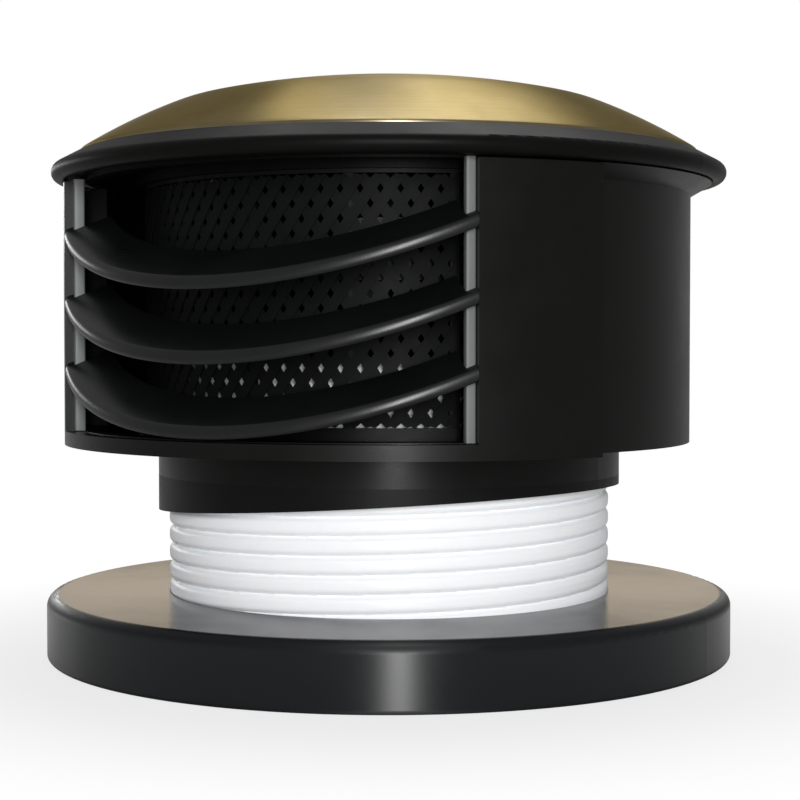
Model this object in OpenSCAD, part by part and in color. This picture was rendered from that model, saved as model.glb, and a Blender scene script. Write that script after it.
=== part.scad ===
// Mushroom deck vent: a louvred cowl under a domed metal cap, screwed up and down on a white
// threaded spigot that stands on a round deck flange. Screwing the head down lowers a closing
// disc onto the rim of the spigot. The origin is the centre of the face that sits on the deck,
// +Z is up, and the louvre faces -Y. Drawn with the head screwed right up, in millimetres.

/* [Deck flange] */
// Outer diameter of the flange
flange_d = 154; // [146:1:180]
// Height of the flange above the deck
flange_h = 14; // [12:0.5:18]
// Rounding of the flange's upper edge
flange_edge = 2.5; // [1:0.25:4]
// Rounding of the flange's lower edge
flange_foot = 1; // [0.5:0.25:2.5]
// Thickness of the flange's top skin and of its inner hub wall
flange_wall = 3; // [2:0.25:5]
// Width of the solid land that rests on the deck at the outer edge
flange_land = 9; // [8:0.5:12]
// Thickness of the moulded ribs under the flange
flange_rib_t = 2; // [1.5:0.25:4]
// Number of ribs under the flange
flange_ribs = 12; // [6:1:18]
// Thickness of the ledge inside the flange that carries the spigot
ledge_h = 4; // [3.5:0.25:6]
// Width of the ledge inside the spigot's bore
ledge_w = 8; // [7.5:0.25:10]
// Number of deck screws through the ledge
deck_screws = 6; // [3:1:8]
// Diameter of the deck screw holes
deck_screw_d = 4.5; // [3:0.25:5]
// Width of the rubber gasket let into the land
gasket_w = 3; // [2:0.25:4]
// Height of the rubber gasket
gasket_h = 1.5; // [1:0.25:2.5]

/* [Spigot] */
// Diameter over the crests of the spigot's thread
thread_d = 99.6; // [96:0.2:102]
// Wall of the spigot
spigot_wall = 4.8; // [4.5:0.1:6]
// Height of the spigot above its ledge
spigot_h = 62; // [59:0.5:64]
// Height that the head climbs in one turn
thread_lead = 8; // [6:0.5:8.5]
// Turns from screwed up to screwed down
head_turns = 2; // [1:0.25:2]
// Shank diameter of the screws that hold the spigot
spigot_screw_d = 3; // [2.5:0.1:3.2]
// Length of the screws that hold the spigot, under the head
spigot_screw_l = 9; // [7:0.5:14]
// Number of screws that hold the spigot
spigot_screws_n = 6; // [3:1:8]

/* [Cowl] */
// Height of the neck's lower end above the flange
neck_lift = 26.4; // [26:0.1:28]
// Height of the neck under the cowl's floor
neck_h = 7.3; // [5:0.1:10]
// Wall of the neck round the thread
neck_wall = 2.1; // [1.8:0.1:3]
// How far the neck's rubber ring hangs below the neck, on its middle line
neck_seal_drop = 5.4; // [4.6:0.1:5.6]
// Slant of the rubber ring's lower edge, in degrees
neck_seal_slant = 3.7; // [0:0.1:4]
// Depth of the seat that holds the ring in the neck
neck_seal_seat = 2; // [1.5:0.25:4]
// Outer diameter of the cowl's plain wall
cowl_d = 135.6; // [134:0.2:138]
// Height of the cowl's wall, floor included
cowl_h = 57.4; // [56:0.2:61]
// Wall of the cowl
cowl_wall = 2.5; // [2:0.1:3.5]
// Thickness of the cowl's floor
floor_t = 2.5; // [2:0.25:4]
// Radius of the pillars that take the dome's screws
pillar_r = 4.2; // [3.8:0.1:5]
// Shank diameter of the dome's screws
dome_screw_d = 3.5; // [3:0.25:4]
// Length of the dome screw's thread inside the dome
dome_screw_bite = 6; // [4:0.5:7]
// Diameter of the drain holes in the floor
drain_d = 5; // [3:0.5:5]

/* [Louvre] */
// How far the louvre housing stands out of the plain wall
housing_out = 5.1; // [4.6:0.1:5.6]
// Angle round the cowl that the louvre housing takes
housing_angle = 132; // [120:1:140]
// Angle round the cowl of the louvre's opening
window_angle = 89; // [84:1:94]
// Angle round the cowl of each louvre post
post_angle = 1.6; // [1.4:0.1:3]
// Depth of the louvre posts, from front to back
post_depth = 4.5; // [3:0.25:6]
// How far the slats stand in front of the posts
slat_proud = 1.9; // [1.2:0.1:2.4]
// Number of slats
slats = 3; // [2:1:3]
// Depth of the slats, from front to back
slat_depth = 9.9; // [8:0.1:10]
// Rise from one slat to the next
slat_pitch = 14.6; // [13.6:0.1:15.2]
// Thickness of a slat
slat_t = 2.4; // [1.6:0.1:3]
// Slope of the slats, down and out
slat_slope = 29; // [22:1:31]
// Height of the flare that widens the plain wall under the brim
flare_h = 2.8; // [2:0.2:6]
// How far that flare stands out of the plain wall
flare_out = 4.6; // [2:0.2:5]

/* [Insect screen] */
// Inner diameter of the cage that carries the mesh
screen_d = 106; // [105:0.5:108]
// Thickness of the cage's bars
cage_t = 1.4; // [1:0.1:1.6]
// Thickness of the mesh sleeve
mesh_t = 0.5; // [0.4:0.05:0.8]
// Height of the cage's top and bottom rims
cage_rim = 2.5; // [2:0.25:4]
// Width of the cage's upright bars
cage_bar_w = 2; // [1.5:0.25:3]
// Number of upright bars
cage_bars_n = 16; // [8:1:24]

/* [Dome and cap] */
// Outer diameter of the dome's brim
brim_d = 151.2; // [150:0.2:156]
// Height of the edge of the cap above the dome's seat
brim_h = 5.4; // [4.6:0.2:6.4]
// Rounding of the brim's edge
brim_edge = 2; // [1.2:0.1:2.2]
// How far the brim's edge hangs below the dome's seat
brim_drop = 1; // [0:0.1:1.1]
// Thickness of the gasket between the cowl and the dome
dome_gasket_t = 1; // [0.6:0.1:2]
// Wall of the dome
dome_wall = 3; // [2.5:0.25:4]
// Thickness of the ribs inside the dome
dome_rib_t = 2; // [1.5:0.25:3]
// Number of ribs inside the dome
dome_ribs = 6; // [3:1:9]
// Diameter of the metal cap
cap_d = 138.6; // [136:0.2:141]
// Rise of the metal cap above its edge
cap_rise = 17.1; // [16:0.1:19]
// Rise that the cap's shoulder would have without the flatter crown
shoulder_rise = 20.5; // [20:0.1:22]
// Radius that the cap's flatter crown is curved to
crown_curve = 205; // [190:5:220]
// Thickness of the metal cap
cap_t = 1.2; // [0.8:0.1:1.6]
// Radius of the circle of studs under the cap
stud_circle = 40; // [34:0.5:44]
// Diameter of the cap's studs
stud_d = 5; // [4:0.25:6]
// Wall of the pads that the studs come through
stud_pad_wall = 4.5; // [3.5:0.25:5]
// Depth of those pads below the edge of the cap
stud_pad_drop = 1; // [0.5:0.25:2]
// Length of stud that shows under its nut
stud_tip = 2; // [1:0.25:3]
// Thickness of the washers under the stud nuts
washer_t = 1; // [0.6:0.1:1.4]
// Number of studs under the cap
studs = 3; // [2:1:4]

/* [Closing disc] */
// Thickness of the closing disc
disc_t = 4; // [3.5:0.25:5]
// Thickness of the disc's rubber ring
disc_seal_t = 3; // [2.5:0.1:3.5]
// Height of the disc's hub over the disc
disc_hub_h = 8; // [6:0.5:9]
// Thickness of the ribs on the disc
disc_rib_t = 2; // [1.5:0.25:3]
// Number of ribs on the disc
disc_ribs = 6; // [3:1:9]
// How far the disc's rubber ring laps past the spigot's rim on the inside
disc_seal_lap = 1; // [0.5:0.1:2]
// Margin of the disc round its rubber ring
disc_margin = 1; // [0.8:0.1:1.5]
// Wall of the hubs round the stem
hub_wall = 5; // [4:0.25:6]
// Diameter of the stem's plain shoulder
stem_d = 10; // [8:0.25:11]
// How far the stem's hexagon head stands out round the shoulder
stem_head_out = 4; // [3:0.25:5]
// Height of the stem's hexagon head
stem_head_h = 5; // [3:0.25:6]
// Step from the shoulder down to the stem's thread
stem_step = 1; // [0.75:0.25:1.5]
// Length of the stem's thread inside the dome
stem_bite = 14; // [10:0.5:16]
// Thickness of the thrust washer over the disc
thrust_t = 1.5; // [1:0.1:2.5]

/* [Clearances] */
// Gap between pieces that move past each other
run_gap = 0.3; // [0.2:0.05:0.4]
// Radial clearance of the stem in the disc's hub
stem_fit = 0.05; // [0.02:0.01:0.1]
// Gap between pieces that are fixed together
seat_gap = 0.1; // [0.05:0.01:0.15]

/* [Hidden] */
$fn = 128;
over = 1;

// Flange and spigot
flange_r = flange_d / 2;
thread_r = thread_d / 2;
bore_r = thread_r - spigot_wall;
duct_r = bore_r - ledge_w;
spigot_seat_r = thread_r + seat_gap;
flange_hub_r = spigot_seat_r + flange_wall;
recess_r = flange_r - flange_land;
gasket_r = flange_r - flange_land / 2;
spigot_top = ledge_h + spigot_h;
spigot_screw_circle = bore_r + spigot_wall / 2;
deck_screw_circle = bore_r - ledge_w / 2;
screw_head_h = 1.6;
screw_head_ratio = 1.8;
csk_ratio = 1.7;
csk_h = deck_screw_d * (csk_ratio - 1) / 2;
pilot_over = 1;

// Cowl
lift = thread_lead * head_turns;
neck_z = flange_h + neck_lift;
floor_z = neck_z + neck_h;
floor_top = floor_z + floor_t;
rim_z = floor_z + cowl_h;
neck_bore_r = thread_r + run_gap;
neck_r = neck_bore_r + neck_wall;
neck_seal_r = neck_bore_r + neck_wall / 2;
neck_seal_h = neck_seal_drop + neck_r * tan(neck_seal_slant) + over;
cowl_r = cowl_d / 2;
cowl_in_r = cowl_r - cowl_wall;
housing_r = cowl_r + housing_out;
housing_in_r = housing_r - cowl_wall;
web_angle = cowl_wall / cowl_r * 180 / PI;
wall_mid_r = cowl_r - cowl_wall / 2;
lip = 0.4;
housing_floor = floor_top + lip;
sill_z = floor_top + lip / 2;
wall_start = (housing_angle - web_angle) / 2;
pillar_sink = 0.4;
pillar_circle = cowl_in_r - pillar_r + pillar_sink;
pillar_turns = [30, 90, 150];
drain_turns = [-30, 0, 30];
dome_screw_head_h = 2.2;
dome_screw_head_r = dome_screw_d * screw_head_ratio / 2;

// Louvre
post_out_r = housing_r - slat_proud;
post_in_r = post_out_r - post_depth;
slat_in_r = housing_r - slat_depth;
slat_reach = 20;

// Dome and cap
dome_z = rim_z + dome_gasket_t;
cap_z = dome_z + brim_h;
cap_r = cap_d / 2;
rebate_r = cap_r + run_gap;
brim_r = brim_d / 2;
brim_room = brim_r - brim_edge - cowl_r - flare_out;
brim_hang = max(0, min(brim_drop, brim_room));
brim_edge_at = [brim_r - brim_edge, dome_z - brim_hang + brim_edge];
brim_start = [rebate_r, cap_z];
brim_run = norm(brim_edge_at - brim_start);
brim_fall = atan2(brim_edge_at[1] - cap_z, brim_edge_at[0] - rebate_r) + asin(brim_edge / brim_run);
brim_slope = sqrt(brim_run * brim_run - brim_edge * brim_edge);
brim_tangent = brim_start + brim_slope * [cos(brim_fall), sin(brim_fall)];
shoulder_curve = (cap_r * cap_r + shoulder_rise * shoulder_rise) / (2 * shoulder_rise);
shoulder_z = cap_z + shoulder_rise - shoulder_curve;
crown_z = cap_z + cap_rise - crown_curve;
dome_under = cap_t + run_gap;
seat_in_r = pillar_circle - pillar_r;
stud_pad_z = cap_z - stud_pad_drop;
stud_pad_r = stud_d / 2 + stud_pad_wall;
nut_ratio = 0.8;
nut_corner_ratio = 0.92;
nut_h = stud_d * nut_ratio;
nut_r = stud_d * nut_corner_ratio;
nut_z = stud_pad_z - washer_t - nut_h;
stud_start = 90;

// Insect screen
screen_in_r = screen_d / 2;
cage_out_r = screen_in_r + cage_t;
mesh_in_r = cage_out_r + seat_gap;
cage_rim_r = mesh_in_r + mesh_t + seat_gap;
screen_top = dome_z - run_gap;
screen_h = screen_top - floor_top - 2 * cage_rim;
cage_bar_angle = cage_bar_w / screen_in_r * 180 / PI;
locator_wall = 1.5;
locator_drop = 2;

// Closing disc
seal_z = spigot_top + lift + run_gap;
disc_z = seal_z + disc_seal_t / 2;
disc_top = disc_z + disc_t;
disc_r = thread_r + seat_gap;
disc_seal_in = bore_r - disc_seal_lap;
disc_seal_out = disc_r - disc_margin;
stem_r = stem_d / 2;
hub_r = stem_r + hub_wall;
disc_hub_top = disc_top + disc_hub_h;
thrust_z = disc_hub_top + run_gap;
hub_z = thrust_z + thrust_t;
stem_head_r = stem_r + stem_head_out;
stem_head_top = disc_z - run_gap;
stem_thread_r = stem_r - stem_step;

// A plain ring standing on height z
module ring(r_in, r_out, z, h) {
    translate([0, 0, z])
        difference() {
            cylinder(r = r_out, h = h);
            translate([0, 0, -over])
                cylinder(r = r_in, h = h + 2 * over);
        }
}

// A piece of a ring that runs from one angle to the next, measured from -Y
module ring_arc(r_in, r_out, z, h, from, to) {
    rotate([0, 0, from - 90])
        rotate_extrude(angle = to - from)
            translate([r_in, z])
                square([r_out - r_in, h]);
}

// Children copied round the axis, the first at the start angle
module around(count, start = 0) {
    for (i = [0 : count - 1])
        rotate([0, 0, start + i * 360 / count])
            children();
}

// Children at the places of the dome's pillars
module at_pillars() {
    for (turn = pillar_turns)
        rotate([0, 0, turn])
            translate([pillar_circle, 0, 0])
                children();
}

// Half outline of the flange with both outer edges rounded
module flange_outline() {
    square([flange_r - flange_edge, flange_h]);
    square([flange_r - flange_foot, flange_h / 2]);
    translate([0, flange_foot])
        square([flange_r, flange_h - flange_edge - flange_foot]);
    translate([flange_r - flange_edge, flange_h - flange_edge])
        circle(r = flange_edge);
    translate([flange_r - flange_foot, flange_foot])
        circle(r = flange_foot);
}

// Hollow under the flange, divided by the ribs
module flange_recess() {
    difference() {
        ring(flange_hub_r, recess_r, -over, flange_h - flange_wall + over);
        around(flange_ribs)
            translate([flange_hub_r - over, -flange_rib_t / 2, -2 * over])
                cube([recess_r - flange_hub_r + 2 * over, flange_rib_t, flange_h + 2 * over]);
    }
}

module deck_flange() {
    color("#1b1b1c")
        difference() {
            rotate_extrude()
                flange_outline();
            translate([0, 0, ledge_h])
                cylinder(r = spigot_seat_r, h = flange_h);
            translate([0, 0, -over])
                cylinder(r = duct_r, h = flange_h);
            flange_recess();
            ring(gasket_r - gasket_w / 2 - seat_gap, gasket_r + gasket_w / 2 + seat_gap,
                 -over, gasket_h + over);
            around(deck_screws)
                translate([deck_screw_circle, 0, 0]) {
                    translate([0, 0, -over])
                        cylinder(d = deck_screw_d, h = ledge_h + 2 * over);
                    translate([0, 0, ledge_h - csk_h])
                        cylinder(d1 = deck_screw_d, d2 = deck_screw_d + 2 * (csk_h + over), h = csk_h + over);
                }
            around(spigot_screws_n, 180 / spigot_screws_n)
                translate([spigot_screw_circle, 0, -over]) {
                    cylinder(r = spigot_screw_d / 2 + seat_gap, h = ledge_h + 2 * over);
                    cylinder(r = spigot_screw_d * screw_head_ratio / 2 + seat_gap,
                             h = screw_head_h + over);
                }
        }
}

module deck_gasket() {
    color("#2a2a2a")
        ring(gasket_r - gasket_w / 2, gasket_r + gasket_w / 2, 0, gasket_h);
}

module threaded_spigot() {
    color("#f2f3f5")
        difference() {
            ring(bore_r, thread_r, ledge_h, spigot_h);
            around(spigot_screws_n, 180 / spigot_screws_n)
                translate([spigot_screw_circle, 0, ledge_h - over])
                    cylinder(r = spigot_screw_d / 2 + seat_gap,
                             h = screw_head_h + spigot_screw_l - ledge_h + over + pilot_over);
        }
}

module spigot_screws() {
    color("#b9bcc0")
        around(spigot_screws_n, 180 / spigot_screws_n)
            translate([spigot_screw_circle, 0, 0]) {
                cylinder(d = spigot_screw_d, h = screw_head_h + spigot_screw_l);
                cylinder(d = spigot_screw_d * screw_head_ratio, h = screw_head_h);
            }
}

module closing_disc() {
    color("#232425")
        difference() {
            union() {
                translate([0, 0, disc_z])
                    cylinder(r = disc_r, h = disc_t);
                translate([0, 0, disc_z])
                    cylinder(r = hub_r, h = disc_t + disc_hub_h);
                around(disc_ribs)
                    translate([0, disc_rib_t / 2, disc_top])
                        rotate([90, 0, 0])
                            linear_extrude(height = disc_rib_t)
                                polygon([[0, -over], [disc_seal_out, -over],
                                         [disc_seal_out, 0], [hub_r, disc_hub_h], [0, disc_hub_h]]);
            }
            translate([0, 0, disc_z - over])
                cylinder(r = stem_r + stem_fit, h = disc_t + disc_hub_h + 2 * over);
            ring(disc_seal_in - seat_gap, disc_seal_out + seat_gap,
                 disc_z - over, disc_seal_t / 2 + over);
        }
}

module disc_seal() {
    color("#303030")
        ring(disc_seal_in, disc_seal_out, seal_z, disc_seal_t);
}

module stem_bolt() {
    color("#c3c6ca")
        union() {
            translate([0, 0, stem_head_top - stem_head_h])
                cylinder(r = stem_head_r, h = stem_head_h, $fn = 6);
            translate([0, 0, stem_head_top - over])
                cylinder(r = stem_r, h = hub_z - stem_head_top + over);
            translate([0, 0, hub_z - over])
                cylinder(r = stem_thread_r, h = stem_bite + over);
        }
}

module thrust_washer() {
    color("#e9e6dc")
        ring(stem_r + stem_fit, hub_r, thrust_z, thrust_t);
}

// Outside of the cowl: a drum, the louvre housing that stands out of it, the flare under the
// brim and the neck
module cowl_outside() {
    translate([0, 0, floor_z])
        cylinder(r = cowl_r, h = cowl_h);
    ring_arc(wall_mid_r, housing_r, floor_z - lip, cowl_h, -housing_angle / 2, housing_angle / 2);
    rotate([0, 0, wall_start - 90])
        rotate_extrude(angle = 360 - 2 * wall_start)
            polygon([[wall_mid_r, rim_z - flare_h - (cowl_r - wall_mid_r) * flare_h / flare_out],
                     [cowl_r + flare_out, rim_z - lip / 2], [wall_mid_r, rim_z - lip / 2]]);
    translate([0, 0, neck_z])
        cylinder(r = neck_r, h = neck_h + floor_t / 2);
}

// Inside of the cowl: the drum's hollow, the hollow of the housing and the louvre's opening
module cowl_hollow() {
    translate([0, 0, floor_top])
        cylinder(r = cowl_in_r, h = cowl_h);
    ring_arc(cowl_in_r - over, housing_in_r, housing_floor, cowl_h, web_angle - housing_angle / 2,
             housing_angle / 2 - web_angle);
    ring_arc(housing_in_r - over, housing_r + over, sill_z, cowl_h, -window_angle / 2, window_angle / 2);
}

module cowl_body() {
    color("#161617")
        difference() {
            union() {
                difference() {
                    cowl_outside();
                    cowl_hollow();
                }
                at_pillars()
                    translate([0, 0, floor_z + floor_t / 2])
                        cylinder(r = pillar_r, h = cowl_h - floor_t / 2 + dome_gasket_t / 2);
            }
            translate([0, 0, neck_z - over])
                cylinder(r = neck_bore_r, h = neck_h + floor_t + 2 * over);
            translate([0, 0, neck_z - over])
                cylinder(r = neck_seal_r, h = neck_seal_seat + over);
            at_pillars()
                translate([0, 0, floor_z - over]) {
                    cylinder(r = dome_screw_d / 2 + seat_gap, h = cowl_h + 2 * over);
                    cylinder(r = dome_screw_head_r + seat_gap, h = dome_screw_head_h + over);
                }
            for (turn = drain_turns)
                rotate([0, 0, turn - 90])
                    translate([(cage_rim_r + cowl_in_r) / 2, 0, floor_z - over])
                        cylinder(d = drain_d, h = floor_t + 2 * over);
        }
}

module neck_seal() {
    color("#0f0f10")
        difference() {
            union() {
                ring(neck_bore_r, neck_seal_r - seat_gap, neck_z - over, neck_seal_seat - seat_gap + over);
                ring(neck_bore_r, neck_r, neck_z - neck_seal_h, neck_seal_h);
            }
            translate([0, 0, neck_z - neck_seal_drop])
                rotate([0, -neck_seal_slant, 0])
                    translate([-flange_r, -flange_r, -2 * neck_seal_h])
                        cube([flange_d, flange_d, 2 * neck_seal_h]);
        }
}

// The two louvre posts, grown by a clearance where the slats are notched round them
module posts(grow = 0) {
    half_window = window_angle / 2;
    for (side = [0, 1])
        mirror([side, 0, 0])
            ring_arc(post_in_r - grow, post_out_r + grow, housing_floor, rim_z - housing_floor,
                     half_window - post_angle - grow, half_window + grow);
}

module louvre_posts() {
    color("#3a3c3e")
        posts();
}

// One flat slat, sloped down and out, trimmed to the round of the cowl
module slat(z) {
    intersection() {
        ring_arc(slat_in_r, housing_r, housing_floor, rim_z - housing_floor,
                 -window_angle / 2, window_angle / 2);
        translate([-housing_r, -housing_r, z])
            rotate([slat_slope, 0, 0])
                translate([0, -slat_reach, 0])
                    cube([2 * housing_r, slat_reach + housing_r, slat_t]);
    }
}

module louvre_slats() {
    color("#202122")
        difference() {
            for (i = [0 : slats - 1])
                slat(housing_floor + i * slat_pitch);
            posts(seat_gap);
        }
}

module cage_rims() {
    color("#1d1e1f") {
        ring(screen_in_r, cage_rim_r, floor_top, cage_rim);
        ring(screen_in_r, cage_rim_r, screen_top - cage_rim, cage_rim);
    }
}

module cage_bars() {
    color("#1d1e1f")
        around(cage_bars_n)
            ring_arc(screen_in_r + seat_gap, cage_out_r, floor_top + cage_rim, screen_h,
                     -cage_bar_angle / 2, cage_bar_angle / 2);
}

module insect_screen() {
    color("#77797a")
        ring(mesh_in_r, mesh_in_r + mesh_t, floor_top + cage_rim + seat_gap,
             screen_h - 2 * seat_gap);
}

module dome_gasket() {
    color("#2a2a2a")
        difference() {
            ring(cowl_in_r, cowl_r, rim_z, dome_gasket_t);
            at_pillars()
                translate([0, 0, rim_z - over])
                    cylinder(r = pillar_r + seat_gap, h = dome_gasket_t + 2 * over);
        }
}

// Half outline of the brim, sloping from the edge of the cap to a rounded edge
module brim_outline() {
    polygon([[seat_in_r, dome_z], [brim_edge_at[0], dome_z], brim_edge_at, brim_tangent,
             brim_start, [seat_in_r, cap_z]]);
    translate(brim_edge_at)
        circle(r = brim_edge);
}

// Room under the cap's top, a given depth below it: the shoulder's round with a flatter crown
module under_cap(depth) {
    intersection() {
        translate([0, 0, shoulder_z])
            sphere(r = shoulder_curve - depth);
        translate([0, 0, crown_z])
            sphere(r = crown_curve - depth);
    }
}

module dome() {
    color("#141415")
        difference() {
            union() {
                intersection() {
                    under_cap(dome_under);
                    union() {
                        difference() {
                            translate([0, 0, dome_z])
                                cylinder(r = rebate_r, h = cap_rise + brim_h);
                            under_cap(dome_under + dome_wall);
                        }
                        ring(seat_in_r, rebate_r, dome_z, cap_rise);
                        translate([0, 0, hub_z])
                            cylinder(r = hub_r, h = cap_z + cap_rise - hub_z);
                        around(studs, stud_start)
                            translate([stud_circle, 0, stud_pad_z])
                                cylinder(r = stud_pad_r, h = cap_rise);
                        around(dome_ribs, stud_start)
                            translate([0, -dome_rib_t / 2, stud_pad_z])
                                cube([seat_in_r + over, dome_rib_t, cap_rise]);
                    }
                }
                rotate_extrude()
                    brim_outline();
                ring(cage_rim_r + run_gap, seat_in_r + over, dome_z, dome_wall);
                ring(cage_rim_r + run_gap, cage_rim_r + run_gap + locator_wall,
                     dome_z - locator_drop, locator_drop + over);
                ring(screen_in_r, cage_rim_r + run_gap + over, dome_z, dome_wall);
            }
            difference() {
                translate([0, 0, dome_z])
                    cylinder(r = rebate_r, h = brim_h + cap_rise + over);
                under_cap(dome_under);
            }
            at_pillars()
                translate([0, 0, dome_z - locator_drop - over])
                    cylinder(r = pillar_r + run_gap, h = locator_drop + over);
            translate([0, 0, hub_z - over])
                cylinder(r = stem_thread_r + seat_gap, h = stem_bite + 2 * over);
            around(studs, stud_start)
                translate([stud_circle, 0, dome_z])
                    cylinder(r = stud_d / 2 + run_gap, h = brim_h + cap_rise);
            at_pillars()
                translate([0, 0, dome_z - over])
                    cylinder(r = dome_screw_d / 2 + seat_gap, h = dome_screw_bite + over + pilot_over);
        }
}

module dome_screws() {
    color("#b9bcc0")
        at_pillars() {
            translate([0, 0, floor_z])
                cylinder(d = dome_screw_d, h = dome_z - floor_z + dome_screw_bite);
            translate([0, 0, floor_z])
                cylinder(r = dome_screw_head_r, h = dome_screw_head_h);
        }
}

module metal_cap() {
    color("#a99a6c")
        union() {
            difference() {
                intersection() {
                    under_cap(0);
                    translate([0, 0, dome_z])
                        cylinder(r = cap_r, h = brim_h + cap_rise + over);
                }
                under_cap(cap_t);
            }
            intersection() {
                under_cap(cap_t / 2);
                around(studs, stud_start)
                    translate([stud_circle, 0, nut_z - stud_tip])
                        cylinder(d = stud_d, h = brim_h + cap_rise + nut_h);
            }
        }
}

module cap_washers() {
    color("#c3c6ca")
        around(studs, stud_start)
            translate([stud_circle, 0, 0])
                ring(stud_d / 2 + seat_gap, stud_d, stud_pad_z - washer_t, washer_t);
}

module cap_nuts() {
    color("#c3c6ca")
        around(studs, stud_start)
            translate([stud_circle, 0, nut_z])
                difference() {
                    cylinder(r = nut_r, h = nut_h, $fn = 6);
                    translate([0, 0, -over])
                        cylinder(r = stud_d / 2 + seat_gap, h = nut_h + 2 * over);
                }
}

deck_flange();
deck_gasket();
threaded_spigot();
spigot_screws();
closing_disc();
disc_seal();
stem_bolt();
thrust_washer();
cowl_body();
neck_seal();
louvre_posts();
louvre_slats();
cage_rims();
cage_bars();
insect_screen();
dome_gasket();
dome();
dome_screws();
metal_cap();
cap_washers();
cap_nuts();
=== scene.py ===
"""Looks of the mushroom deck vent: surfaces worked out with numpy and procedural finishes.

Everything is in metres in the frame's own axes: +Z up from the deck, the louvre towards -Y.
Angles round the vent are measured from -Y, towards +X.
"""

import logging
import math
from collections.abc import Sequence
from dataclasses import dataclass
from enum import Enum

import bmesh
import bpy
import numpy as np
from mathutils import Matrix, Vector


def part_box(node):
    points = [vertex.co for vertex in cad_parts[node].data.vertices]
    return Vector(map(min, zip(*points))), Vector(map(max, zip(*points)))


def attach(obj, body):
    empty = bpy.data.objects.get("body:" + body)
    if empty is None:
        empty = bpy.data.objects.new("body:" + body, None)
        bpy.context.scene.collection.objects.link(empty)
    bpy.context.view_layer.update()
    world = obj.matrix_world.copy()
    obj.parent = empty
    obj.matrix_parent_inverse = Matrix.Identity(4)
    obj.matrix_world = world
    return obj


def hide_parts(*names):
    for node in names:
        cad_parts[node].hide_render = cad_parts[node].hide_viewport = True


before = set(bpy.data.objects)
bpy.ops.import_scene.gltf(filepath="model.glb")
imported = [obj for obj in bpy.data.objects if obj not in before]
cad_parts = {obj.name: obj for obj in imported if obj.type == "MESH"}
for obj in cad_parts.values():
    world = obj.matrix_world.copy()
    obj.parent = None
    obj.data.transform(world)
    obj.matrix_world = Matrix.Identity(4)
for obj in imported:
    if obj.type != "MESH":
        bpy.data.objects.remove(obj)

log = logging.getLogger("deck_vent")

Array = np.ndarray
MM = 0.001
WHITE = (1.0, 1.0, 1.0, 1.0)

# Corners closer than this are one corner, and edges sharper than this stay sharp.
MERGE = 1e-7
SHARP_DEG = 40.0

# Most values of a noise texture lie between these two.
NOISE_LOW = 0.25
NOISE_HIGH = 0.75

# Places of the two colour inputs and of the colour output on a Mix node.
MIX_A = 6
MIX_B = 7
MIX_OUT = 2

# Turn of the stretched reflections, as a share of a full turn: from along the marks to across them.
ACROSS_MARKS = 0.25


class Body(Enum):
    """The bodies of the vent that new pieces ride on."""

    BASE = "base"
    HEAD = "head"


class Slot(Enum):
    """Names of the material slots for the new pieces; nothing in the script reads them."""

    SPIGOT = "white_nylon"
    FASTENERS = "stainless_fasteners"
    LOUVRE = "louvre_plastic"
    POST = "post_plastic"
    SCREEN = "screen_mesh"
    CAP = "cap_metal"


def linear(hex_colour: str) -> tuple[float, float, float, float]:
    """Turn an sRGB hex colour into linear values.

    Args:
        hex_colour: colour as "#rrggbb".

    Returns:
        Linear red, green and blue with an alpha of one.
    """
    shares = [int(hex_colour[i:i + 2], 16) / 255 for i in (1, 3, 5)]
    rgb = [s / 12.92 if s <= 0.04045 else ((s + 0.055) / 1.055) ** 2.4 for s in shares]
    return (rgb[0], rgb[1], rgb[2], 1.0)


def per_metre(size_mm: float) -> float:
    """Scale of a pattern whose features are size_mm across, on Object coordinates."""
    return 1.0 / (size_mm * MM)


def add_node(tree: bpy.types.NodeTree, kind: str,
             feeds: dict[str | int, bpy.types.NodeSocket] | None = None,
             values: dict[str | int, object] | None = None, **settings: object) -> bpy.types.Node:
    """Add one node with its settings, constant inputs and incoming links.

    Args:
        tree: node tree that gets the node.
        kind: Blender's name of the node type.
        feeds: output socket for each linked input, by the input's name or number.
        values: constant for each set input, by the input's name or number.
        **settings: the node's own properties.

    Returns:
        The new node.
    """
    node = tree.nodes.new(kind)
    for key, value in settings.items():
        setattr(node, key, value)
    for key, value in (values or {}).items():
        node.inputs[key].default_value = value
    for key, socket in (feeds or {}).items():
        tree.links.new(socket, node.inputs[key])
    return node


def brush_round(tree: bpy.types.NodeTree, shader: bpy.types.Node, amount: float) -> None:
    """Stretch reflections across fine marks that run round the vent's axis.

    Args:
        tree: the material's node tree.
        shader: its Principled shader.
        amount: how far reflections are stretched, from 0 to 1.
    """
    round_axis = add_node(tree, "ShaderNodeTangent", direction_type="RADIAL", axis="Z")
    tree.links.new(round_axis.outputs["Tangent"], shader.inputs["Tangent"])
    shader.inputs["Anisotropic"].default_value = amount
    shader.inputs["Anisotropic Rotation"].default_value = ACROSS_MARKS


@dataclass(frozen=True)
class Finish:
    """A surface finish, named for its material and for how the surface was made."""

    name: str

    def material(self) -> bpy.types.Material:
        """The finish as a Blender material, made when it is first asked for."""
        made = bpy.data.materials.get(self.name)
        if made is None:
            made = bpy.data.materials.new(self.name)
            made.use_nodes = True
            self.wire(made.node_tree, made.node_tree.nodes["Principled BSDF"])
        return made

    def wire(self, tree: bpy.types.NodeTree, shader: bpy.types.Node) -> None:
        """Add the finish's own nodes to a new material.

        Args:
            tree: the material's node tree.
            shader: its Principled shader.
        """
        raise NotImplementedError


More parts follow.
